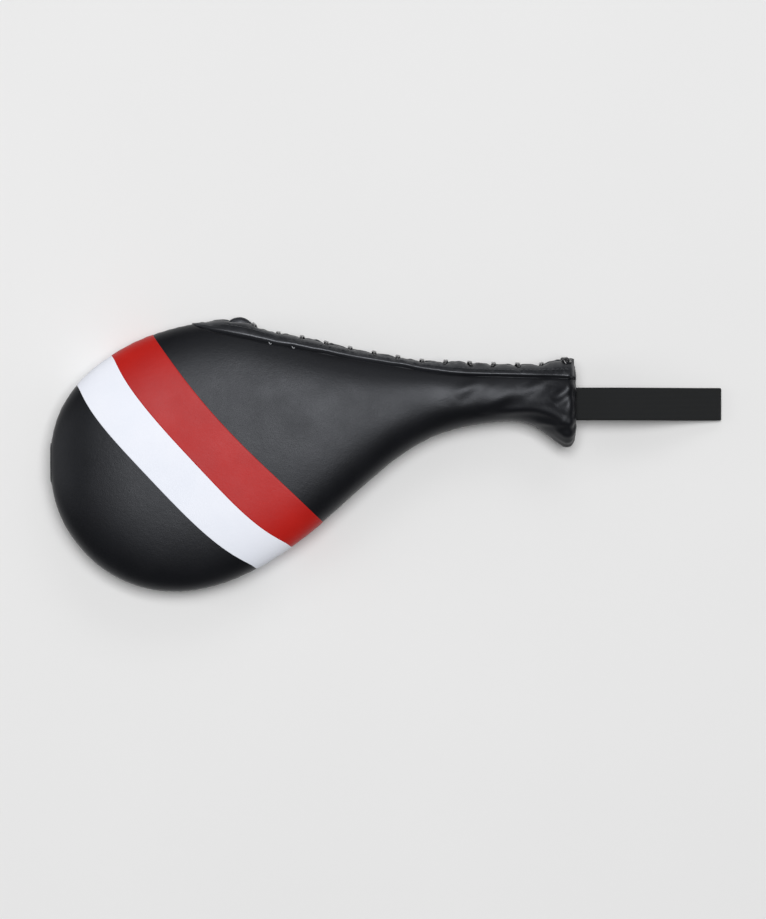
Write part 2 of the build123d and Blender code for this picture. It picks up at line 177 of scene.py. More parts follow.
def even_out(values):
    """Blurs much in the long middle and little at the rounded ends."""
    few, many = blur(values, 6), blur(values, 60)
    share = smoothstep((BASE_X - TIP_X - 10 * MM) / (14 * MM))
    share = share * smoothstep((BUTT_X - 9 * MM - BASE_X) / (8 * MM))
    return few * (1 - share) + many * share


def measure_sections():
    """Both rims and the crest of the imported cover, at each place in BASE_X."""
    rim_up, rim_low, crest = [], [], []
    for x in BASE_X:
        beside = (MID - RIM_OFF, MID + RIM_OFF)
        rim_up.append(max(hit(SKIN, (x, 1, z), (0, -1, 0)).y for z in beside))
        rim_low.append(min(hit(SKIN, (x, -1, z), (0, 1, 0)).y for z in beside))
        middle = (rim_up[-1] + rim_low[-1]) / 2
        crest.append(hit(SKIN, (x, middle, 1), DOWN).z - MID)
    return even_out(rim_up), even_out(rim_low), even_out(crest)


RIM_UP, RIM_LOW, CREST = measure_sections()


def sections(x):
    """Middle, half width, half thickness and exponent of the sections at x."""
    up = np.interp(x, BASE_X, RIM_UP)
    low = np.interp(x, BASE_X, RIM_LOW)
    tall = np.interp(x, BASE_X, CREST)
    shape = HEAD_SHAPE + (GRIP_SHAPE - HEAD_SHAPE) * smoothstep((x - SHAPE_FROM) / SHAPE_RUN)
    return (up + low) / 2, (up - low) / 2, tall, shape


def rounded_reach(c, s, shape):
    """How far a superellipse reaches in the direction (c, s)."""
    return (np.abs(c) ** shape + np.abs(s) ** shape) ** (-1 / shape)


def surface(x, angle, rise=0.0):
    """Points of the padded body at x and at an angle round the section, raised by `rise`."""
    x, angle, rise = np.broadcast_arrays(
        np.asarray(x, float), np.asarray(angle, float), np.asarray(rise, float)
    )
    middle, wide, tall, shape = sections(x)
    c, s = np.cos(angle), np.sin(angle)
    reach = rounded_reach(c, s, shape)
    y = middle + (wide + rise) * reach * c
    z = MID + (tall + rise) * reach * s
    return np.stack([x, y, np.maximum(z, -np.minimum(rise, 0))], axis=-1)


# ------------------------------------------------------------------ meshes
def mesh_object(name, points, faces):
    """A smooth-shaded object whose faces all look outwards."""
    mesh = bpy.data.meshes.new(name)
    mesh.from_pydata(points, [], faces)
    mesh.update()
    piece = bpy.data.objects.new(name, mesh)
    bpy.context.scene.collection.objects.link(piece)
    bm = bmesh.new()
    bm.from_mesh(mesh)
    bmesh.ops.recalc_face_normals(bm, faces=bm.faces)
    bm.to_mesh(mesh)
    bm.free()
    mesh.polygons.foreach_set("use_smooth", [True] * len(mesh.polygons))
    return piece


def grid_object(name, grid, wrap=False, close_start=False, close_end=False):
    """A smooth mesh from a rows-by-columns grid of points."""
    rows, columns = grid.shape[:2]
    points = [tuple(p) for p in grid.reshape(-1, 3)]
    faces = []
    last = columns if wrap else columns - 1
    for i in range(rows - 1):
        here, after = i * columns, (i + 1) * columns
        for j in range(last):
            k = (j + 1) % columns
            faces.append((here + j, here + k, after + k, after + j))
    for closed, row in ((close_start, 0), (close_end, rows - 1)):
        if closed:
            centre = len(points)
            points.append(tuple(grid[row].mean(axis=0)))
            for j in range(last):
                k = (j + 1) % columns
                faces.append((row * columns + j, row * columns + k, centre))
    return mesh_object(name, points, faces)


def grid_normals(grid):
    """Outward unit normals of a grid whose rows run along the paddle."""
    n = np.cross(np.gradient(grid, axis=1), np.gradient(grid, axis=0))
    n = n / np.maximum(np.linalg.norm(n, axis=-1, keepdims=True), 1e-12)
    out = grid.copy()
    out[..., 1] -= sections(grid[..., 0])[0]
    out[..., 2] -= MID
    flip = np.where((n * out)[..., 1:].sum(-1) < 0, -1.0, 1.0)
    return n * flip[..., None]


TUBE_END = (0.55, 0.88, 1.0)                          # how thick a tube is at its first rings


def tubes(name, paths, radius, sides):
    """Round tubes along several open paths, in one mesh."""
    points, faces = [], []
    for path in paths:
        path = np.array(path, float)
        steps = np.gradient(path, axis=0)
        steps /= np.linalg.norm(steps, axis=1, keepdims=True)
        side = np.cross(steps[0], [0.3, 0.2, 1.0])
        side /= np.linalg.norm(side)
        base = len(points)
        for i, (p, t) in enumerate(zip(path, steps)):
            side = side - t * side.dot(t)
            side /= np.linalg.norm(side)
            up = np.cross(t, side)
            from_end = min(i, len(path) - 1 - i)
            thick = radius * TUBE_END[min(from_end, 2)]
            for k in range(sides):
                a = 2 * math.pi * k / sides
                points.append(tuple(p + thick * (math.cos(a) * side + math.sin(a) * up)))
        for i in range(len(path) - 1):
            a, b = base + i * sides, base + (i + 1) * sides
            for k in range(sides):
                m = (k + 1) % sides
                faces.append((a + k, a + m, b + m, b + k))
        faces.append(tuple(base + k for k in range(sides)))
        top = base + (len(path) - 1) * sides
        faces.append(tuple(top + k for k in reversed(range(sides))))
    return mesh_object(name, points, faces)


# ------------------------------------------------------------------ line of the laced edge
HEM_X = np.linspace(HEM_LOW.x + 1.5 * MM, BUTT_X - 0.6 * MM, 760)
LIP_ANGLE = 0.035                                     # angle round the section of the hem's lip


def hem_angle(x):
    """Angle round the section at which the hem's lower edge lies, found by halving."""
    low, high = 0.02, 1.4
    for _ in range(14):
        half = (low + high) / 2
        p = surface(x, half)
        if hit(HEM, (p[0], p[1] + 0.1 * MM, 1), DOWN) is None:
            high = half
        else:
            low = half
    return low


HEM_ANGLE = blur([hem_angle(x) for x in HEM_X], 10)
HEM_Y = surface(HEM_X, HEM_ANGLE)[:, 1]

# places where the lace draws the rim in: x, half length and depth, in millimetres
RIM_DRAWS = [(-91, 14, 3.6), (-72, 12, 0.8), (26, 18, 1.5), (118, 12, 1.6)]
DRAW_FROM = -104 * MM                                 # nothing is drawn in on the head's side of this


def signed_turn(angle):
    """The angle brought between -pi and pi."""
    return np.angle(np.exp(1j * np.asarray(angle)))


def rim_draw(x, angle):
    """How far the laced rim is drawn in."""
    depth = np.zeros(np.shape(x))
    for centre, length, most in RIM_DRAWS:
        depth = depth + most * MM * bell(x - centre * MM, length * MM)
    depth = depth * smoothstep((x - DRAW_FROM) / (6 * MM))
    return depth * bell(signed_turn(angle), 0.42)


# ------------------------------------------------------------------ how the leather lies
# Folds pressed into the grip: points along each (x, y), height and half width, in millimetres.
GRIP_FOLDS = [
    ([(50, 46), (62, 52), (75, 60)], 0.55, 4.5),
    ([(70, 35), (84, 42), (100, 52)], 0.7, 5.0),
    ([(96, 44), (110, 51), (121, 59)], 0.45, 4.0),
    ([(80, 33), (97, 34.5), (114, 34.5), (127, 31), (135, 26)], 0.75, 3.2),
    ([(112, 25.5), (123, 24.6), (134, 23.2)], 0.6, 2.2),
    ([(126, 42), (135, 48), (141, 52)], 0.9, 3.4),
    ([(120, 60), (132, 57), (141, 53)], 0.5, 2.8),
    ([(128, 18), (133, 24), (136, 31)], 0.5, 2.4),
]
BACK_FOLD = 0.7                                       # height of a fold on the back, of the front's
BACK_SHIFT = 6 * MM                                   # and how far along it is shifted


def fold_height(x, y, points, height, wide):
    """A raised ridge beside a shallow valley, fading out at both ends."""
    path = curve_through([(px * MM, py * MM, 0) for px, py in points], 40)[:, :2]
    best = np.full(x.shape, 1e3)
    side = np.zeros(x.shape)
    along = np.zeros(x.shape)
    for i in range(len(path) - 1):
        a = path[i]
        d = path[i + 1] - a
        t = np.clip(((x - a[0]) * d[0] + (y - a[1]) * d[1]) / d.dot(d), 0, 1)
        ex, ey = x - a[0] - t * d[0], y - a[1] - t * d[1]
        dist = np.hypot(ex, ey)
        near = dist < best
        best = np.where(near, dist, best)
        side = np.where(near, np.sign(d[0] * ey - d[1] * ex), side)
        along = np.where(near, (i + t) / (len(path) - 1), along)
    s = best * side / (wide * MM)
    fade = np.sin(np.pi * np.clip(along, 0.02, 0.98)) ** 0.6
    return height * MM * fade * (np.exp(-s * s) - 0.8 * np.exp(-(s + 1.5) ** 2))


def grip_folds(x, y, front):
    """The folds of the front, and milder ones on the back, mirrored across the grip."""
    across = 2 * sections(x)[0] - y
    rise = np.zeros(x.shape)
    for points, height, wide in GRIP_FOLDS:
        on_front = fold_height(x, y, points, height, wide)
        on_back = fold_height(x + BACK_SHIFT, across, points, BACK_FOLD * height, wide)
        rise += np.where(front, on_front, on_back)
    return rise


def unevenness(grid):
    """Slow swells all over, and livelier ones, drawn out lengthwise, from the middle to the butt."""
    lively = smoothstep(grid[..., 0] / 0.09)
    drawn_out = grid * np.array([0.55, 1.0, 1.0])
    return MM * (0.13 * value_noise(grid, 0.06, 3) + 0.035 * value_noise(grid, 0.018, 5)
                 + 0.34 * lively * value_noise(drawn_out, 0.011, 8))


def pleats(angle):
    """Thirteen uneven waves round the section."""
    return np.sin(angle * 13 + 1.3 * np.sin(angle * 3 + 0.8))


def butt_gathers(x, angle):
    """Gathers that run into the butt."""
    fade = smoothstep((x - (BUTT_X - 20 * MM)) / (16 * MM))
    return 0.34 * MM * fade * (pleats(angle) + 0.6 * np.sin(angle * 21 + 2.0))


def lace_pull(x, angle):
    """The laced rim is drawn in at every lace stitch, and stands out between them."""
    laced = smoothstep((x - LACE_X[0] + 0.02) / 0.02)
    pull = sum(bell(x - stitch, 4.5 * MM) for stitch in LACE_X)
    return -0.55 * MM * bell(signed_turn(angle), 0.32) * laced * (pull - 0.35)


def sewn_seam(x, y, z):
    """A narrow seam round the rest of the rim, with tiny puckers at its stitches."""
    groove = bell(z - MID, 0.55 * MM)
    beside = bell(np.abs(z - MID) - 2.2 * MM, 1.4 * MM)
    puckers = np.sin(2 * np.pi * (x - y) / (5.5 * MM))
    laced = (y > sections(x)[0]) & (x > HEM_LOW.x)
    return np.where(laced, 0, -0.75 * MM * groove + 0.12 * MM * beside * puckers)


def hem_furrow(x, y):
    """The furrow that the hem's lower edge sinks into."""
    above = y - np.interp(x, HEM_X, HEM_Y)
    furrow = bell(above + 0.4 * MM, 0.85 * MM) * smoothstep((x - HEM_X[0]) / (14 * MM))
    return np.where(y > sections(x)[0], -2.2 * MM * furrow, 0)


def leather_rise(grid, angle):
    """How far the cover stands off its smooth shape."""
    x, y, z = grid[..., 0], grid[..., 1], grid[..., 2]
    rise = unevenness(grid) + grip_folds(x, y, z > MID) + butt_gathers(x, angle)
    rise += lace_pull(x, angle) - rim_draw(x, angle) + sewn_seam(x, y, z) + hem_furrow(x, y)
    # nothing moves where it lies on the floor
    return np.where(z < 0.6 * MM, 0, rise * smoothstep(z / (4 * MM)))


# ------------------------------------------------------------------ cover
TIP_ROUND, BUTT_ROUND = 14 * MM, 6 * MM               # lengths over which the ends are rounded
TIP_BULGE = 0.55 * MM
SLOT_HALF = 2.3 * MM                                  # half height of the slot round the strap
SLOT_GAP = 0.7 * MM                                   # from the strap's edge to the slot's end
SLOT_SHAPE = 6


def cover_angles(count):
    """Angles round the section, closer together near the laced edge."""
    even = np.linspace(-np.pi, np.pi, 4001)
    crowd = np.cumsum(1 + 3.2 * np.exp(-(even / 0.55) ** 4))
    steps = np.linspace(crowd[0], crowd[-1], count, endpoint=False)
    return np.interp(steps, crowd, even) % (2 * np.pi)


def cover_stations():
    """Places of the rings along the paddle, closer together at both rounded ends."""
    tip_turn = np.linspace(0.06, np.pi / 2, 26)
    butt_turn = np.linspace(0, np.pi / 2, 14)[1:]
    return np.concatenate([
        TIP_X + TIP_ROUND * (1 - np.cos(tip_turn)),
        np.linspace(TIP_X + TIP_ROUND, BUTT_X - BUTT_ROUND, 330)[1:],
        BUTT_X - BUTT_ROUND + BUTT_ROUND * np.sin(butt_turn) * 0.995,
    ])


def tip_rings(first):
    """Rings that close the tip, the smallest one first."""
    rings = []
    for k in range(6, 0, -1):
        turn = k / 7 * math.pi / 2
        share = math.cos(turn)
        ring = first * share + first.mean(axis=0) * (1 - share)
        ring[:, 0] = first[:, 0] - TIP_BULGE * math.sin(turn)
        rings.append(ring)
    return np.array(rings)


def butt_rings(last, angles):
    """Rings in which the leather turns in at the butt, to a slot round the strap."""
    c, s = np.cos(angles), np.sin(angles)
    reach = rounded_reach(c, s, SLOT_SHAPE)
    slot = np.stack([
        np.full(len(angles), BUTT_X),
        STRAP_Y + (STRAP_HALF + SLOT_GAP) * reach * c,
        PIVOT.z + SLOT_HALF * reach * s,
    ], axis=1)
    rings = []
    for k in range(1, 15):
        share = k / 14
        bulge = math.sin(share * math.pi)
        ring = last * (1 - share) + slot * share
        wobble = value_noise(ring * np.array([1, 1.4, 1.4]), 0.009, 21)
        ring[:, 0] = BUTT_X + (1.1 * bulge - 1.4 * share ** 4) * MM
        ring[:, 0] += (0.35 * wobble + 0.3 * pleats(angles) * (1 - share)) * MM * bulge ** 0.5
        rings.append(ring)
    for depth in (2.5, 5.0):
        ring = slot.copy()
        ring[:, 0] = BUTT_X - depth * MM
        rings.append(ring)
    return np.array(rings)


def make_cover():
    angles = cover_angles(560)
    base = surface(cover_stations()[:, None], angles[None, :])
    rise = leather_rise(base, np.broadcast_to(angles, base.shape[:2]))
    grid = base + grid_normals(base) * rise[..., None]
    grid[..., 2] = np.maximum(grid[..., 2], 0)
    grid = np.concatenate([tip_rings(grid[0]), grid, butt_rings(grid[-1], angles)])
    return grid_object("cover_leather", grid, wrap=True, close_start=True)


# ------------------------------------------------------------------ stripes
BORDER = np.array([0, 0.004, 0.012, 0.03])            # rows of a stripe's border, as shares across it
ROLLED = [-0.25, 0.0, 0.16, 0.22]                     # their heights over the leather, in millimetres
ROLLED_LOW = [-0.25, 0.0, 0.1, 0.14]                  # and those of the stripe that lies underneath
TUCK = 1.2 * MM                                       # how far it runs under its neighbour


def stripe_edges(tree):
    """Where a stripe starts and ends along x, at each angle round one half of the section."""
    angles = np.linspace(0.012, np.pi - 0.012, 260)
    grid_x = np.linspace(TIP_X + 1 * MM, 0, 520)
    starts, ends = [], []
    for a in angles:
        covered = [hit(tree, (p[0], p[1], 1), DOWN) is not None for p in surface(grid_x, a)]
        inside = np.flatnonzero(covered)
        starts.append(grid_x[inside[0]] if len(inside) else np.nan)
        ends.append(grid_x[inside[-1]] if len(inside) else np.nan)
    return angles, np.array(starts), np.array(ends)


def fair_edge(angles, values):
    """A smooth line through the sampled ends of a stripe."""
    good = ~np.isnan(values)
    t = angles / np.pi * 2 - 1
    return np.polynomial.chebyshev.Chebyshev.fit(t[good], values[good], 11)(t)


def stripe_piece(name, tree, front, tuck=0.0):
    """A stripe; with `tuck` its far border lies under the next stripe."""
    angles, starts, ends = stripe_edges(tree)
    starts, ends = fair_edge(angles, starts), fair_edge(angles, ends) + tuck
    far_border = 1 - BORDER[::-1]
    across = np.concatenate([BORDER, np.linspace(0.05, 0.95, 40), far_border])
    if tuck:
        lift = np.interp(across, BORDER, ROLLED_LOW) * MM
    else:
        lift = np.interp(across, [*BORDER, *far_border], ROLLED + ROLLED[::-1]) * MM
    x = starts[None, :] * (1 - across[:, None]) + ends[None, :] * across[:, None]
    turned = angles if front else -angles
    flat = surface(x, turned[None, :])
    rise = leather_rise(flat, np.broadcast_to(turned, x.shape))
    grid = flat + grid_normals(flat) * (rise + lift[:, None])[..., None]
    grid[..., 2] = np.maximum(grid[..., 2], -0.02 * MM)
    return grid_object(name, grid)


# ------------------------------------------------------------------ hem of the laced edge
HEM_EDGE = [(0, -1.8), (0, 0.2), (0.012, 1.0), (0.035, 1.35)]   # rolled edge: share, height in mm
HEM_BAND = 1.5                                        # height of the flat band, in millimetres
LIP_FOLDS = [(0.45, 0.55), (1.2, 1.1), (2.6, 1.5), (5.0, 1.6)]  # rows back into the slit: down, in


def scallop(x, shift):
    """1 half way between two lace stitches, 0 at a stitch."""
    phase = (x - LACE_X[0]) / (LACE_X[1] - LACE_X[0]) + shift
    return np.abs(np.sin(np.pi * phase)) ** 0.75


def butt_flare():
    """The lip flares at the butt and keeps its corner there."""
    corner_x = BUTT_X - 7 * MM
    drop = np.interp(corner_x, BASE_X, RIM_UP) - np.interp(HEM_X, BASE_X, RIM_UP)
    near_butt = smoothstep((HEM_X - BUTT_X + 13 * MM) / (9 * MM))
    return 0.7 * MM * near_butt + np.where(HEM_X > corner_x, 0.85 * np.maximum(drop, 0), 0)


def hem_piece(name, side, seed, shift, lip_height, gape_height):
    """Folded binding: a rolled lower edge, a flat band and a lip that stands open between stitches."""
    full = smoothstep((HEM_X - HEM_X[0]) / (30 * MM))
    wave = scallop(HEM_X, shift)
    lip = wave * (1 + 0.5 * line_noise(HEM_X, 0.013, seed))
    wavy_edge = 0.4 * MM * line_noise(HEM_X, 0.012, seed + 4, z=1.0)
    gape = bell(HEM_X - LACE_X[0] + 11 * MM, 8 * MM)
    flare = butt_flare()
    band = np.concatenate([np.linspace(0.07, 0.86, 24), np.linspace(0.88, 1.0, 8)])
    heights = HEM_BAND - (HEM_BAND - lip_height) * smoothstep((band - 0.25) / 0.75)
    rows = []
    for share, height in HEM_EDGE + list(zip(band, heights)):
        angle = HEM_ANGLE * (1 - share) + LIP_ANGLE * share
        open_lip = smoothstep((share - 0.35) / 0.65)
        crease = line_noise(HEM_X * 2.2, 0.0075, seed + 9, y=share * 0.012)
        rise = height * MM * (0.3 + 0.7 * full)
        rise = rise + (1.25 * lip - 1.0 * (1 - wave) ** 2) * MM * open_lip * full
        rise = rise + (gape_height * MM * gape + flare) * open_lip
        rise = rise + 0.55 * MM * crease * smoothstep(share / 0.2)
        points = surface(HEM_X, side * angle, rise - rim_draw(HEM_X, angle))
        points[:, 1] += wavy_edge * (1 - share)
        # the flap turns its face up, and the lips part between stitches
        away = (4.6 + 1.6 * lip * open_lip + 1.5 * gape) * MM * share ** 1.6
        points[:, 2] += side * away * full
        rows.append(points)
    # the lip folds over and goes back down into the slit
    top = rows[-1]
    for drop, inward in LIP_FOLDS:
        fold = top.copy()
        fold[:, 1] -= drop * MM
        fold[:, 2] -= side * np.minimum(1.6 * inward * MM, np.abs(top[:, 2] - MID) - 0.15 * MM)
        rows.append(fold)
    return grid_object(name, np.transpose(np.array(rows), (1, 0, 2)))


# ------------------------------------------------------------------ thread
STITCH_PITCH = 3.4 * MM
STITCH_SHARE = 0.2                                    # place of the stitches across the hem
# one stitch: distance along the hem and depth below its top, in millimetres
STITCH = [(-1.25, 0.35), (-0.7, 0), (0, -0.12), (0.7, 0), (1.25, 0.35)]
# cut ends of sewing thread that stand out just below the hem, pale partly as painted glint: x and y
# off the hem, in millimetres
LOOSE_ENDS = [(-88.7, -2.2), (-71.1, -2.0)]
LOOSE_SHAPE = [(-0.6, 1.4, 0.3), (0, 0.2, 0.9), (0.9, -0.3, 0.5), (1.3, 0.5, 0.2)]


def hem_point(x, share, side, rise):
    """A point on the hem: share 0 at its lower edge and 1 at the lip."""
    angle = np.interp(x, HEM_X, HEM_ANGLE) * (1 - share) + LIP_ANGLE * share
    return surface(x, side * angle, rise - rim_draw(x, angle))


def stitch_row(name, side):
    """The row of machine stitches along one hem."""
    paths = []
    for x in np.arange(HEM_X[0] + 24 * MM, BUTT_X - 5 * MM, STITCH_PITCH):
        paths.append([
            hem_point(x + dx * MM, STITCH_SHARE, side, (2.3 - sink) * MM) for dx, sink in STITCH
        ])
    return tubes(name, paths, 0.27 * MM, 7)


def loose_ends(name):
    """Short cut ends of thread, bent over on the leather."""
    angles = np.linspace(0.05, 1.3, 400)
    paths = []
    for x, gap in LOOSE_ENDS:
        line = surface(x * MM, angles)
        y = np.interp(x * MM, HEM_X, HEM_Y) + gap * MM
        start = line[np.argmin(np.abs(line[:, 1] - y))]
        paths.append(curve_through([start + np.array(step) * MM for step in LOOSE_SHAPE], 10))
    return tubes(name, paths, 0.34 * MM, 7)


# ------------------------------------------------------------------ lace
LACE_RADIUS = 1.05 * MM
STRAND_OFF = 0.75 * 1.1 * MM                          # from a stitch's middle to each of its strands
LACE_LEAN = 1.1 * MM                                  # how far a stitch slants, every other one back
LACE_REACH = 10.5 * MM                                # from the middle plane to a stitch's ends
KNOT_SIZE = 0.95 * MM
KNOT_TAILS = [[(3.0, 1.0, 1.5), (5.2, -2.0, 2.0)], [(-1.0, 1.2, 2.0), (1.5, -3.4, 2.6)]]


def lace_strand(x, off, lean):
    """One strand over the rim, from the back hole to the front hole."""
    path = []
    for share in np.linspace(-1, 1, 17):
        here = x + off * math.cos(2.4 * share) + lean * share
        high = (1.5 + 0.7 * (1 - share * share) - 1.2 * abs(share) ** 6) * MM
        point = surface(here, 0.3 * share, high - rim_draw(here, 0))
        point[2] = MID + share * LACE_REACH
        path.append(point)
    return path


def make_lace(name):
    """Two strands side by side at every stitch."""
    paths = []
    for k, x in enumerate(LACE_X):
        lean = LACE_LEAN if k % 2 else -LACE_LEAN
        paths += [lace_strand(x, off, lean) for off in (-STRAND_OFF, STRAND_OFF)]
    return tubes(name, paths, LACE_RADIUS, 10)


def make_knot(name):
    """A trefoil knot with two short tails, at the lace's butt end."""
    place = surface(LACE_HIGH.x - 2.5 * MM, 0.42, 2.6 * MM)
    loops = []
    for t in np.linspace(0, 2 * math.pi, 70):
        loops.append(place + KNOT_SIZE * np.array([
            math.sin(t) + 2 * math.sin(2 * t),
            0.9 * (math.cos(t) - 2 * math.cos(2 * t)),
            -1.2 * math.sin(3 * t),
        ]))
    tails = []
    for tail in KNOT_TAILS:
        tails.append(curve_through([place] + [place + np.array(step) * MM for step in tail], 16))
    return tubes(name, [loops] + tails, 0.75 * MM, 9)


# ------------------------------------------------------------------ strap
PLY = 1.5 * MM                                        # thickness of the webbing
ROOT_OFF = 0.52 * PLY                                 # from the hinge's height to a ply's middle
END_INSET = 2.2 * MM                                  # the fold starts this far inside the CAD end
STRETCH = 2.2 * MM                                    # and the plies are drawn out by this much
FOLD_REACH = 1.4 * MM
SELVEDGE = 0.06                                       # share of the half width that is rounded off


def strap_line():
    """Middle line of the webbing, out along the upper ply and back along the lower: (x, z), run."""
    x = np.linspace(PIVOT.x + 9 * MM, STRAP_HIGH.x - END_INSET, 90)
    upper = blur([hit(STRAP, (at, STRAP_Y, 1), DOWN).z for at in x], 4) - PLY / 2
    lower = blur([hit(STRAP, (at, STRAP_Y, -1), UP).z for at in x], 4) + PLY / 2
    x = x[0] + (x - x[0]) * (1 + STRETCH / (x[-1] - x[0]))
    root = np.linspace(BUTT_X - 8 * MM, PIVOT.x + 7 * MM, 14)
    path = [(at, PIVOT.z + ROOT_OFF) for at in root]
    path += list(zip(x, upper))
    middle, half = (upper[-1] + lower[-1]) / 2, (upper[-1] - lower[-1]) / 2
    for a in np.linspace(math.pi / 2, -math.pi / 2, 15)[1:-1]:
        path.append((x[-1] + FOLD_REACH * math.cos(a), middle + half * math.sin(a)))
    path += list(zip(x[::-1], lower[::-1]))
    path += [(at, PIVOT.z - ROOT_OFF) for at in root[::-1]]
    line, run = spread(np.array(path), 420)
    return np.stack([blur(line[:, k], 3) for k in range(2)], axis=1), run


def make_strap(name):
    """Flat webbing with rounded selvedges, swept along its middle line."""
    line, run = strap_line()
    tangent = np.gradient(line, axis=0)
    tangent /= np.linalg.norm(tangent, axis=1, keepdims=True)
    outward = np.stack([-tangent[:, 1], tangent[:, 0]], axis=1)
    profile = [(v, 1) for v in np.linspace(-1, 1, 41)]
    profile += [(v, -1) for v in np.linspace(1, -1, 41)]
    grid = np.zeros((len(line), len(profile), 3))
    for j, (v, face) in enumerate(profile):
        edge = np.clip((abs(v) - (1 - SELVEDGE)) / SELVEDGE, 0, 1)
        half = PLY / 2 * math.sqrt(max(1 - edge ** 2, 0.02))
        off = face * half + 0.05 * MM * line_noise(run, 0.012, 51, y=v * 0.01)
        grid[:, j, 0] = line[:, 0] + outward[:, 0] * off
        grid[:, j, 1] = STRAP_Y + STRAP_HALF * v * (1 + 0.004 * np.sin(run / (19 * MM)))
        grid[:, j, 2] = np.maximum(line[:, 1] + outward[:, 1] * off, 0.02 * MM)
    return grid_object(name, grid, wrap=True, close_start=True, close_end=True)


# ------------------------------------------------------------------ materials
class Nodes:
    """A material and short calls to add and join its nodes."""

    def __init__(self, name):
        self.material = bpy.data.materials.new(name)
        self.material.use_nodes = True
        self.tree = self.material.node_tree
        self.shader = self.tree.nodes["Principled BSDF"]

    def add(self, kind, inputs=None, **settings):
        node = self.tree.nodes.new(kind)
        for key, value in settings.items():
            setattr(node, key, value)
        for key, value in (inputs or {}).items():
            node.inputs[key].default_value = value
        return node

    def join(self, a, b):
        self.tree.links.new(a, b)

    def place(self):
        return self.add("ShaderNodeTexCoord").outputs["Object"]

    def noise(self, scale, detail=4.0, rough=0.55, vector=None):
        node = self.add("ShaderNodeTexNoise", {"Scale": scale, "Detail": detail, "Roughness": rough})
        self.join(vector or self.place(), node.inputs["Vector"])
        return node.outputs["Fac"]

    def cells(self, scale):
        node = self.add("ShaderNodeTexVoronoi", {"Scale": scale})
        self.join(self.place(), node.inputs["Vector"])
        return node.outputs["Distance"]

    def waves(self, direction, scale, distortion):
        node = self.add("ShaderNodeTexWave", {"Scale": scale, "Distortion": distortion},
                        wave_type="BANDS", bands_direction=direction)
        self.join(self.place(), node.inputs["Vector"])
        return node.outputs["Fac"]

    def ramp(self, source, low, high):
        """Turns a value into a colour; each stop is a place and a colour."""
        node = self.add("ShaderNodeValToRGB")
        for element, (at, colour) in zip(node.color_ramp.elements, (low, high)):
            element.position = at
            element.color = (*colour, 1)
        self.join(source, node.inputs["Fac"])
        return node.outputs["Color"]

    def grey(self, source, low, high):
        """Turns a value into a grey from low to high."""
        return self.ramp(source, (0.25, (low, low, low)), (0.75, (high, high, high)))

    def mix(self, a, share_a, b, share_b):
        """The sum of a share of each of two values."""
        total = self.add("ShaderNodeMath", operation="ADD")
        for k, (value, share) in enumerate(((a, share_a), (b, share_b))):
            part = self.add("ShaderNodeMath", {1: share}, operation="MULTIPLY")
            self.join(value, part.inputs[0])
            self.join(part.outputs[0], total.inputs[k])
        return total.outputs[0]

    def product(self, a, b):
        node = self.add("ShaderNodeMath", operation="MULTIPLY")
        self.join(a, node.inputs[0])
        self.join(b, node.inputs[1])
        return node.outputs[0]

    def bump(self, height, strength, distance, under=None):
        node = self.add("ShaderNodeBump", {"Strength": strength, "Distance": distance})
        self.join(height, node.inputs["Height"])
        if under is not None:
            self.join(under, node.inputs["Normal"])
        return node.outputs["Normal"]

    def finish(self, colour, roughness, normal, **same_all_over):
        """Joins the shader; other inputs are named with _ for a space."""
        self.join(colour, self.shader.inputs["Base Color"])
        self.join(roughness, self.shader.inputs["Roughness"])
        self.join(normal, self.shader.inputs["Normal"])
        for key, value in same_all_over.items():
            self.shader.inputs[key.replace("_", " ")].default_value = value
        return self.material


def leather(name, dark, light, rough, gloss, grain=0.3, sheen=0.0):
    """Synthetic leather: fine pebble grain, faint creases, uneven tone and polish."""
    n = Nodes(name)
    tone = n.mix(n.noise(22, 3), 0.75, n.noise(900, 2), 0.25)
    polish = n.mix(n.noise(34, 4), 0.7, n.noise(1300, 1), 0.3)
    pebble = n.mix(n.cells(1500), 0.6, n.noise(2100, 2), 0.5)
    creases = n.bump(n.noise(260, 5, 0.65), 0.16, 0.0006)
    return n.finish(
        n.ramp(tone, (0.32, dark), (0.7, light)), n.grey(polish, *rough),
        n.bump(pebble, grain, 0.00018, creases),
        Specular_IOR_Level=gloss, Sheen_Weight=sheen, Sheen_Roughness=0.45,
        Specular_Tint=(0.9, 0.93, 1.0, 1.0),
    )


def woven(name, dark, light, ribs, yarns, depth, sheen):
    """Webbing or thread: ribs one way crossed by finer yarns the other way."""
    n = Nodes(name)
    weave = n.product(n.waves("X", ribs, 0.25), n.waves("Y", yarns, 0.4))
    fuzz = n.noise(2600, 3)
    return n.finish(
        n.ramp(n.mix(weave, 0.6, fuzz, 0.4), (0.15, dark), (0.75, light)), n.grey(fuzz, 0.72, 0.9),
        n.bump(n.mix(weave, 0.8, fuzz, 0.3), 0.6, depth),
        Sheen_Weight=sheen, Sheen_Roughness=0.5, Specular_IOR_Level=0.25,
    )


def waxed_cord(name, dark, light):
    """Waxed cord: twisted strands, painted lighter where they turn over as a painted highlight on
    their polished crowns.
    """
    n = Nodes(name)
    twist = n.waves("DIAGONAL", 620, 1.0)
    fuzz = n.noise(1800, 3)
    return n.finish(
        n.ramp(n.mix(twist, 0.5, fuzz, 0.5), (0.2, dark), (0.8, light)), n.grey(fuzz, 0.2, 0.4),
        n.bump(twist, 0.5, 0.0002), Coat_Weight=1.0, Coat_Roughness=0.1,
    )


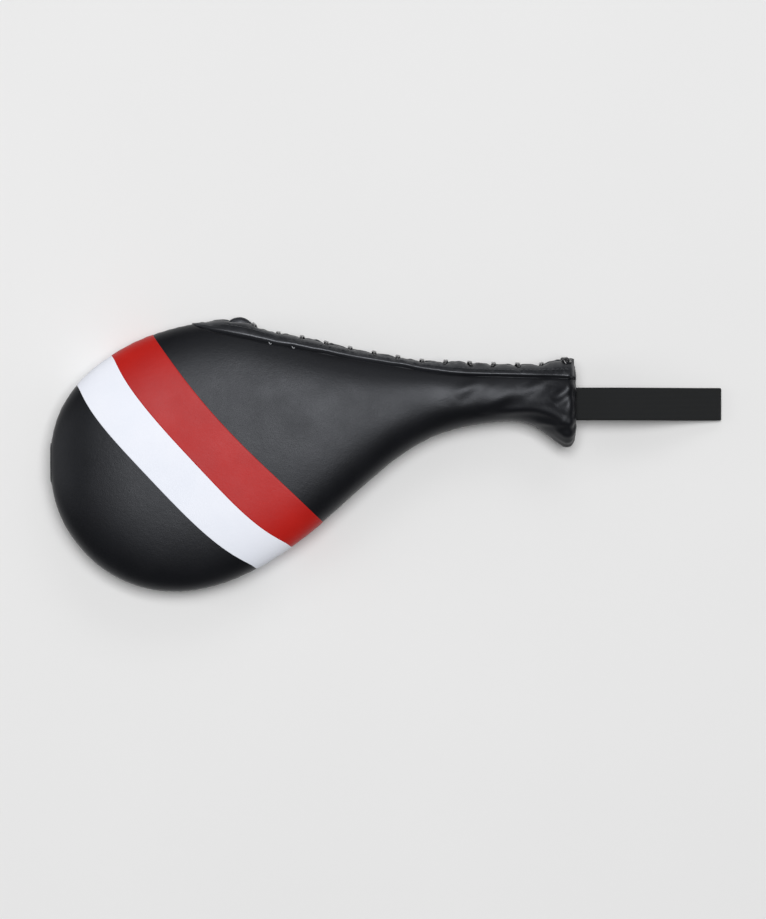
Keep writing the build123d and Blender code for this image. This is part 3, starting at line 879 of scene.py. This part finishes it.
def sheet_plastic(name, dark, light):
    """Flexible plastic sheet: faint rolling lines and a soft polish."""
    n = Nodes(name)
    drawn = n.add("ShaderNodeMapping", {"Scale": (6, 220, 220)})
    n.join(n.place(), drawn.inputs["Vector"])
    lines = n.noise(4, 4, 0.6, drawn.outputs["Vector"])
    return n.finish(
        n.ramp(lines, (0.3, dark), (0.7, light)), n.grey(n.noise(90, 3), 0.35, 0.5),
        n.bump(lines, 0.2, 0.0003),
    )


def floor_paper(name):
    """Matte paper, a little uneven."""
    n = Nodes(name)
    return n.finish(
        n.ramp(n.noise(3, 2), (0.3, (0.80, 0.80, 0.80)), (0.7, (0.815, 0.815, 0.815))),
        n.grey(n.noise(40, 2), 0.85, 0.95), n.bump(n.noise(1500, 2), 0.05, 0.0002),
    )


black = leather("leather_black", dark=(0.0022, 0.0024, 0.0034), light=(0.0048, 0.0052, 0.0068),
                rough=(0.36, 0.48), gloss=0.29)
# the hem's base is lighter than the body's black: partly its own satin finish, partly painted light on
# the band
hem_black = leather("leather_hem", dark=(0.006, 0.0065, 0.008), light=(0.016, 0.017, 0.02),
                    rough=(0.28, 0.42), gloss=0.55, sheen=0.02)
white = leather("leather_white", dark=(0.8, 0.83, 0.91), light=(0.86, 0.88, 0.95),
                rough=(0.44, 0.56), gloss=0.3, grain=0.2)
red = leather("leather_red", dark=(0.40, 0.008, 0.005), light=(0.48, 0.012, 0.007),
              rough=(0.4, 0.52), gloss=0.24)
webbing = woven("webbing_black", dark=(0.006, 0.0065, 0.007), light=(0.022, 0.024, 0.025),
                ribs=560, yarns=330, depth=0.0003, sheen=0.05)
thread = woven("thread_grey", dark=(0.03, 0.032, 0.036), light=(0.12, 0.125, 0.135),
               ribs=900, yarns=900, depth=0.0001, sheen=0.2)
# pale thread ends: partly their own colour, partly painted glint
pale_thread_glint = woven("thread_pale_glint", dark=(0.25, 0.26, 0.28), light=(0.5, 0.51, 0.53),
                    ribs=900, yarns=900, depth=0.0001, sheen=0.2)
# the lace's lighter twist colour is painted highlight on the strands' crowns
lace_finish = waxed_cord("lace_black", dark=(0.005, 0.005, 0.006), light=(0.03, 0.03, 0.034))
plate = sheet_plastic("plate_plastic", dark=(0.66, 0.66, 0.62), light=(0.76, 0.76, 0.72))


def dress(piece, material):
    piece.data.materials.clear()
    piece.data.materials.append(material)


# ------------------------------------------------------------------ pieces on their bodies
def place_on_paddle(piece, material, slot, *nodes):
    """Gives a piece its finish and body, and hides the CAD nodes it stands for."""
    dress(piece, material)
    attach(piece, "paddle")
    if nodes:
        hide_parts(*nodes)


cover = make_cover()
place_on_paddle(
    cover, black, "cover_black", "cover_front", "cover_back", "core_foam_front", "core_foam_back",
    "strike_pad_front", "strike_pad_back", "grip_foam_front", "grip_foam_back", "pommel_block",
)

for face in ("front", "back"):
    stripe = stripe_piece(f"stripe_white_{face}", WHITE_STRIPE, face == "front", TUCK)
    place_on_paddle(stripe, white, "film_white", f"white_stripe_{face}")
for face in ("front", "back"):
    stripe = stripe_piece(f"stripe_red_{face}", RED_STRIPE, face == "front")
    place_on_paddle(stripe, red, "film_red", f"red_stripe_{face}")

hem_front = hem_piece("hem_front", 1, seed=31, shift=0.0, lip_height=0.0, gape_height=-1.0)
hem_back = hem_piece("hem_back", -1, seed=44, shift=0.06, lip_height=0.9, gape_height=3.0)
place_on_paddle(hem_front, hem_black, "hem_black", "hem_strip_front")
place_on_paddle(hem_back, hem_black, "hem_black", "hem_strip_back")

place_on_paddle(loose_ends("thread_ends"), pale_thread_glint, "thread_grey")
place_on_paddle(stitch_row("hem_thread_front", 1), thread, "thread_grey", "hem_stitches_front")
place_on_paddle(stitch_row("hem_thread_back", -1), thread, "thread_grey", "hem_stitches_back")
place_on_paddle(make_lace("lace"), lace_finish, "lace_black", "closure_lace")
place_on_paddle(make_knot("lace_knot"), lace_finish, "lace_black")

strap = make_strap("strap_webbing")
dress(strap, webbing)
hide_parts("strap_anchor", "wrist_strap")
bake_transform(strap)

dress(frame["nodes"]["spine_plate"], plate)
dress(frame["nodes"]["strap_bartacks"], thread)
dress(frame["nodes"]["rim_seam_thread"], thread)

# ------------------------------------------------------------------ floor, light and camera
bpy.ops.mesh.primitive_plane_add(size=12, location=(0, 0, -0.05 * MM))
floor = bpy.context.object
floor.name = "floor"
dress(floor, floor_paper("floor_paper"))


def softbox(name, place, size, power):
    """A large soft light that faces the paddle."""
    lamp = bpy.data.lights.new(name, "AREA")
    lamp.shape = "RECTANGLE"
    lamp.size, lamp.size_y = size
    lamp.energy = power
    holder = bpy.data.objects.new(name, lamp)
    holder.location = place
    holder.rotation_euler = (-Vector(place)).to_track_quat("-Z", "Y").to_euler()
    bpy.context.scene.collection.objects.link(holder)


softbox("key_above", (0.3, 0.76, 6.0), (3.2, 2.3), 305)
softbox("fill_left", (-2.3, 0.2, 1.0), (1.0, 2.0), 10)
softbox("fill_top", (0.6, 2.4, 2.0), (2.2, 1.0), 9)

world = bpy.data.worlds.new("studio")
world.use_nodes = True
background = world.node_tree.nodes["Background"]
background.inputs["Color"].default_value = (1, 1, 1, 1)
background.inputs["Strength"].default_value = 0.11
bpy.context.scene.world = world
bpy.context.scene.view_settings.view_transform = "Standard"

LENS, SENSOR = 200, 36
PICTURE_HEIGHT = 919
PICTURE_STEP = 0.765 * MM                             # one picture point at the middle plane
camera_data = bpy.data.cameras.new("camera")
camera_data.lens = LENS
camera_data.clip_end = 50
camera = bpy.data.objects.new("camera", camera_data)
camera.location = (-2.4 * MM, -2.8 * MM, MID + PICTURE_STEP * PICTURE_HEIGHT * LENS / SENSOR)
bpy.context.scene.collection.objects.link(camera)
bpy.context.scene.camera = camera
